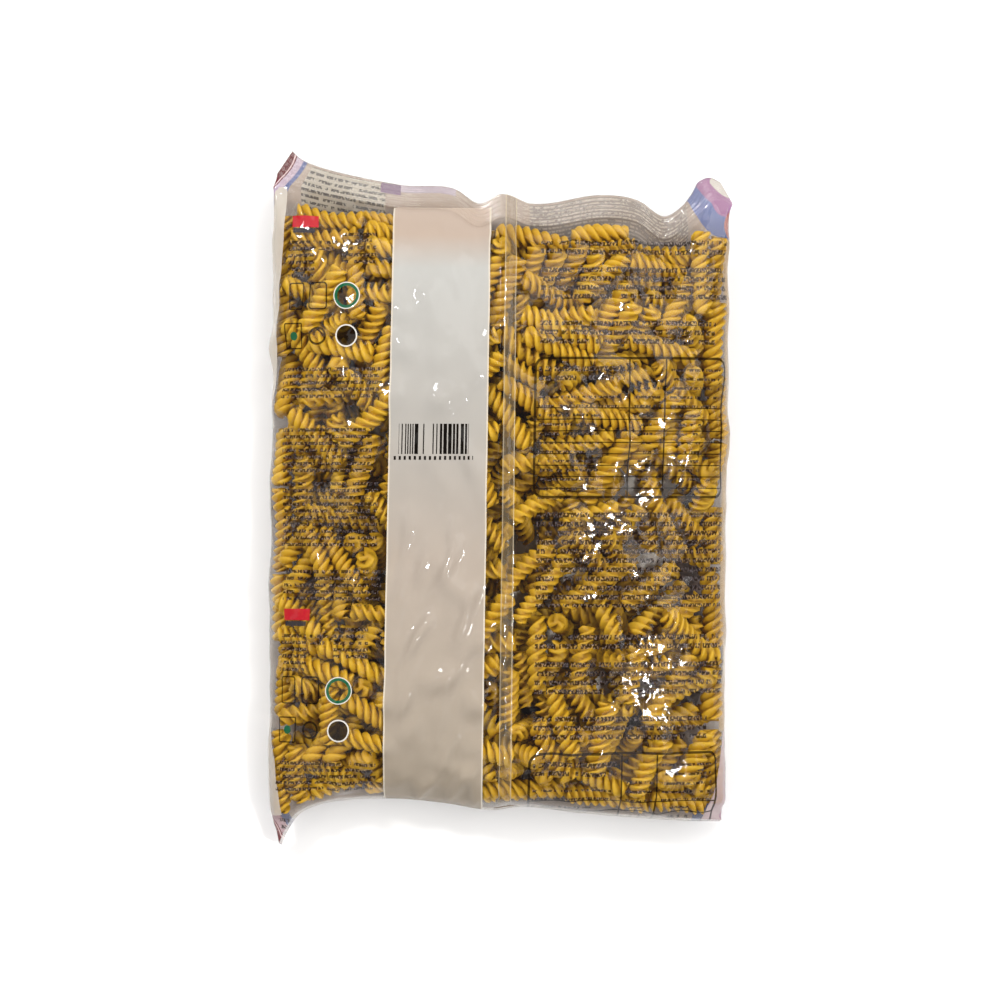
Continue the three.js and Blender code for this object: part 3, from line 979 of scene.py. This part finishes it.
def back_print(tree, place, web_at):
    """The back's printed fields as a list of mask, colour and cover. place is the film's UV."""
    parts = add(tree, "SeparateXYZ", place).node
    web, true_y = parts.outputs["X"], parts.outputs["Y"]
    lean = add(tree, "Math", true_y, -PRINT_SLANT, PRINT_SLANT * SLANT_LEVEL, operation="MULTIPLY_ADD")
    x = add(tree, "Math", web, lean, operation="ADD")
    y = add(tree, "Math", true_y, WINDOW_LOW + REPEAT, WINDOW_LOW, operation="WRAP")
    place = add(tree, "CombineXYZ", x, y, 0.0)

    def on_web(left, right, low, high):
        return web_at(left), web_at(right), low, high

    def mark(*box):
        return inside_box(tree, x, y, on_web(*box))

    def rounds(places):
        return [round_band(tree, place, web_at(mark_x), *rest) for mark_x, *rest in places]

    letters = []
    for pitch, height, places in TEXT_BLOCKS:
        blocks = any_of(tree, [mark(*whole_rows(block, pitch)) for block in places])
        letters.append(all_of(tree, [small_print(tree, x, y, pitch, height), blocks]))
    below_end = add(tree, "Math", true_y, TEXT_HIGH, operation="LESS_THAN")
    letters = all_of(tree, [any_of(tree, letters), below_end])
    columns = [mark(c - TABLE_LINE / 2, c + TABLE_LINE / 2, *TABLE_FRAME[2:]) for c in TABLE_COLUMNS]
    per_row = 1 / TABLE_ROW_PITCH
    ruling = add(tree, "Math", y, per_row, -TABLE_ROWS[0] * per_row, operation="MULTIPLY_ADD")
    ruling = add(tree, "Math", ruling, operation="FRACT")
    ruling = add(tree, "Math", ruling, TABLE_ROW_LINE, operation="LESS_THAN")
    ruling = all_of(tree, [ruling, mark(*TABLE_FRAME[:2], *TABLE_ROWS)])
    frames = [outline(tree, place, on_web(*box), corner, width) for box, corner, width in FRAMES]
    dark = any_of(tree, [ruling, *columns, *frames, *rounds(DARK_ROUNDS)])
    left, right, low, high = BAR_BLOCK
    bars = bar_code(tree, x, mark(*BAR_BLOCK), mark(left - 2, right + 2, low - 2.4, low - 0.8))

    # The strip's colour darkens towards its low end: painted shade, together with the pasta's warmth through
    # the ink
    down = add(tree, "MapRange", true_y, STRIP[2], STRIP[3], 0.0, 1.0)
    strip_colour_and_shade = add(tree, "ValToRGB", down)
    ramp = strip_colour_and_shade.node.color_ramp
    for position, colour in STRIP_TONES_AND_SHADE:
        stop = ramp.elements[0] if position == 0 else ramp.elements.new(position)
        stop.color = linear(colour)
    ramp.elements.remove(ramp.elements[-1])

    def edge_lines(across, edges, width, low, high):
        boxes = [(edge - width / 2, edge + width / 2, low, high) for edge in edges]
        return any_of(tree, [inside_box(tree, across, true_y, box) for box in boxes])

    seam = (web_at(SEAM_LEFT), web_at(SEAM_RIGHT))
    return [
        (inside_box(tree, x, true_y, STRIP), strip_colour_and_shade, 0.96),
        (edge_lines(x, STRIP[:2], 0.6, *STRIP[2:]), "#cac0af", 0.9),
        (inside_box(tree, web, true_y, (*seam, -200, 200)), "#958368", 0.25),
        # Light lines along both edges of the fin seam: painted highlights where the seam's steps catch the
        # light
        (edge_lines(web, seam, 0.4, -200, 200), "#c2b292", 0.5),
        (letters, "#1a0e05", 0.85),
        (dark, "#150b04", 0.86),
        (any_of(tree, rounds(PALE_ROUNDS)), "#cecac2", 0.92),
        (any_of(tree, rounds(GREEN_ROUNDS)), "#0c5238", 0.95),
        (mark(*RED_FIELD), "#a81c28", 0.95),
        (mark(*GREY_FIELD), "#302e33", 0.92),
        (bars, "#0e0c0a", 0.97),
    ]


def outside_rounded(tree, places, half_sizes):
    """1 outside a rounded field in the front's middle."""
    powers = []
    for place, half in zip(places, half_sizes):
        share = add(tree, "Math", place, 1 / half, operation="MULTIPLY")
        share = add(tree, "Math", share, operation="ABSOLUTE")
        powers.append(add(tree, "Math", share, FRONT_ROUNDNESS, operation="POWER"))
    level = add(tree, "Math", *powers, operation="ADD")
    return add(tree, "Math", level, 1.0, operation="GREATER_THAN")


def front_print(tree, place, half_web):
    """The front's printed fields as a list of mask, colour and cover, as they show round the bag's edge."""
    parts = add(tree, "SeparateXYZ", place).node
    web, y = parts.outputs["X"], parts.outputs["Y"]
    side = add(tree, "Math", web, operation="SIGN")
    from_middle = add(tree, "Math", web, operation="ABSOLUTE")
    from_middle = add(tree, "Math", half_web, from_middle, operation="SUBTRACT")
    x = add(tree, "Math", side, from_middle, operation="MULTIPLY")
    spot = add(tree, "CombineXYZ", x, y, 0.0)

    from_top = add(tree, "Attribute", attribute_name="from_top").node.outputs["Fac"]
    fields = [
        # Dark ring between the window and the ground's edge: print, and painted shade where it shows through
        # the gaps between the spirals
        (outside_rounded(tree, (from_middle, y), FRONT_WINDOW), "#5a4a46", 0.85),
        (outside_rounded(tree, (from_middle, y), FRONT_GROUND), "#928173", 0.75),
    ]
    for box, colour, cover, pitch, row_colour, row_cover in PANELS:
        panel = inside_box(tree, x, from_top, box)
        rows = all_of(tree, [small_print(tree, x, from_top, pitch, pitch / 2), panel])
        fields += [(panel, colour, cover), (rows, row_colour, row_cover)]
    fields += [(inside_box(tree, x, from_top, box), colour, cover) for box, colour, cover in TOP_BARS]
    for middle, bands in CORNER_FIELDS.items():
        for inner, outer, colour, cover in bands:
            fields.append((round_band(tree, spot, *middle, inner, outer), colour, cover))
    return fields


def side_print(tree, place, web_at, half_web):
    """The bands down the sides, each beyond a slanting line, on to the edge of the front's ground."""
    parts = add(tree, "SeparateXYZ", place).node
    web, y = parts.outputs["X"], parts.outputs["Y"]
    past = add(tree, "Math", web, operation="ABSOLUTE")
    past = add(tree, "Math", past, half_web - FRONT_GROUND[0], operation="LESS_THAN")
    fields = []
    for ((x0, y0), (x1, y1)), low, high, colour, cover in SIDE_BANDS:
        slope = (web_at(x1) - web_at(x0)) / (y1 - y0)
        offset = add(tree, "Math", y, -slope, slope * y0 - web_at(x0), operation="MULTIPLY_ADD")
        beyond = add(tree, "Math", web, offset, operation="ADD")
        beyond = add(tree, "Math", beyond, math.copysign(1, x0), operation="MULTIPLY")
        beyond = add(tree, "Math", beyond, 0.0, operation="GREATER_THAN")
        within = add(tree, "Math", y, (low + high) / 2, (high - low) / 2, operation="COMPARE")
        fields.append((all_of(tree, [beyond, within, past]), colour, cover))
    return fields


def clear_printed_film(web_at, half_web):
    """Clear polypropylene film, gravure printed: mirror-like but for the white strip, with fine creases."""
    material, tree = new_material("clear_polypropylene_film")
    place = add(tree, "UVMap", uv_map="web")
    stored = [add(tree, "Attribute", attribute_name=name).node for name in ("front", "seal")]
    front, seal = [node.outputs["Fac"] for node in stored]
    back = add(tree, "Math", 1.0, front, operation="SUBTRACT")
    layers = [(seal, "#a59c93", 0.08)]
    layers += side_print(tree, place, web_at, half_web)
    for mask, ink, share in front_print(tree, place, half_web):
        layers.append((all_of(tree, [mask, front]), ink, share))
    printed = back_print(tree, place, web_at)
    for mask, ink, share in printed:
        layers.append((all_of(tree, [mask, back]), ink, share))
    strip = all_of(tree, [printed[0][0], back])
    colour, cover = "#cfc2c8", 0.005
    for mask, ink, share in layers:
        colour = add(tree, "Mix", mask, colour, ink, data_type="RGBA")
        cover = add(tree, "Mix", mask, cover, share, data_type="FLOAT")

    # Creases too shallow to show but in the gloss
    crinkle = add(tree, "TexNoise", place, 1 / CRINKLE_SPACING, 1.0, 0.5, noise_dimensions="2D")
    bump = add(tree, "Bump", 1.0, CRINKLE_DEPTH * MM)
    tree.links.new(crinkle, bump.node.inputs["Height"])
    facing = add(tree, "LayerWeight", 0.5).node.outputs["Facing"]
    rise = add(tree, "Math", facing, 5.0, operation="POWER")
    mirror = add(tree, "Math", rise, GLOSS_RISE, GLOSS, operation="MULTIPLY_ADD")
    satin = add(tree, "Math", strip, -0.5, 1.0, operation="MULTIPLY_ADD")
    mirror = add(tree, "Math", mirror, satin, operation="MULTIPLY")
    clear = add(tree, "BsdfTransparent", "#fdfbf8")
    ink = add(tree, "BsdfDiffuse", colour)
    sheet = add(tree, "MixShader", cover, clear, ink)
    gloss = add(tree, "BsdfAnisotropic", "#ffffff", 0.06)
    tree.links.new(bump, gloss.node.inputs["Normal"])
    film = add(tree, "MixShader", mirror, sheet, gloss)
    add(tree, "OutputMaterial", film)
    return material


def matt_white_card():
    """Plain white card under the bag."""
    material, tree = new_material("matt_white_card")
    shader = add(tree, "BsdfDiffuse", "#f4f3f2")
    add(tree, "OutputMaterial", shader)
    return material


# The studio


def make_floor():
    bpy.ops.object.select_all(action="DESELECT")
    bpy.ops.mesh.primitive_plane_add(size=FLOOR_SIZE, location=(0, 0, FLOOR_LEVEL))
    floor = bpy.context.object
    floor.name = "studio_floor"
    floor.data.materials.append(matt_white_card())


def make_lamp(name, place, size, power):
    lamp = bpy.data.lights.new(name, "AREA")
    lamp.size = size
    lamp.energy = power
    lamp_object = new_object(name, lamp)
    lamp_object.location = place
    aim = Vector((0, 0, 0.02)) - Vector(place)
    lamp_object.rotation_euler = aim.to_track_quat("-Z", "Y").to_euler()


def make_studio():
    make_floor()
    for name, settings in LAMPS.items():
        make_lamp(name, *settings)
    world = bpy.data.worlds.new("studio")
    world.use_nodes = True
    background = world.node_tree.nodes["Background"]
    background.inputs["Color"].default_value = linear("#ffffff")
    background.inputs["Strength"].default_value = WORLD_LIGHT
    bpy.context.scene.world = world


def make_camera():
    """Straight above the bag and far off, as in the photograph."""
    camera = bpy.data.cameras.new("camera")
    camera.sensor_width = SENSOR
    camera.lens = SENSOR * CAMERA_HEIGHT / FRAME_WIDTH
    camera_object = new_object("camera", camera)
    camera_object.location = (0.0004, -0.0004, CAMERA_HEIGHT + SIDE_HEIGHT * MM)
    bpy.context.scene.camera = camera_object


bpy.context.scene.view_settings.view_transform = "Standard"
make_camera()
make_studio()

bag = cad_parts["pasta_bag"]
bag_faces = [p.vertices for p in bag.data.polygons]
solid_tree = BVHTree.FromPolygons([v.co for v in bag.data.vertices], bag_faces)

spiral_ends, spiral_lengths = pack_spirals(solid_tree)
shapes_random = np.random.default_rng(PACK_SEED + 1)
pasta = dried_durum_pasta()
places = np.concatenate([spiral_ends, spiral_ends.mean(1, keepdims=True)], 1)
depths = [min(solid_tree.find_nearest(Vector(point * MM))[3] for point in three) for three in places]
from_inside = np.argsort(depths)[::-1]
inner_count = round(INNER_SHARE * SPIRAL_COUNT)
corners, polygons = [], []
for piece_name, which, detail in (
    ("pasta_spirals_outer", from_inside[inner_count:], OUTER_DETAIL),
    ("pasta_spirals_inner", from_inside[:inner_count], INNER_DETAIL),
):
    chosen = (spiral_ends[which], spiral_lengths[which])
    spirals = join_spirals(piece_name, *chosen, detail, pasta, shapes_random)
    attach(spirals, "root")
    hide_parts("pasta_bag")
    polygons += [[k + len(corners) for k in p.vertices] for p in spirals.data.polygons]
    corners += [v.co.copy() for v in spirals.data.vertices]

film_bag = make_film(spiral_ends, BVHTree.FromPolygons(corners, polygons), corners)
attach(film_bag, "root")
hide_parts("pasta_bag")
